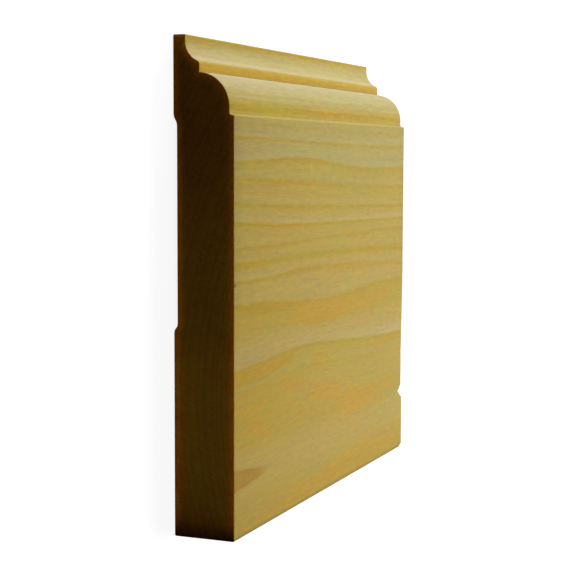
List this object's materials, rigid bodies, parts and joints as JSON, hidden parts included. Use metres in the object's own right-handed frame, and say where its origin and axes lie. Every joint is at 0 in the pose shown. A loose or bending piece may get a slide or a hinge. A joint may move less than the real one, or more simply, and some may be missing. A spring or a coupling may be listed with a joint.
{
  "type": "skirting board length",
  "caption": "Short length of softwood skirting board with an ovolo, fillet and cove along its top edge and a relief planed into its back.",
  "frame": {"origin": "under the middle of the board, on the plane of the two lands that its back lies on", "axes": "+X along the board towards the nicked end, +Y across it from the bottom edge to the moulded top edge, +Z out of the moulded face"},
  "size_m": [0.143, 0.1334, 0.0175],
  "materials": {
    "softwood": "bare, planed smooth on the face, edges and back, sawn across the grain at both ends"
  },
  "bodies": {
    "root": {"skirting_board": "softwood"}
  },
  "joints": []
}
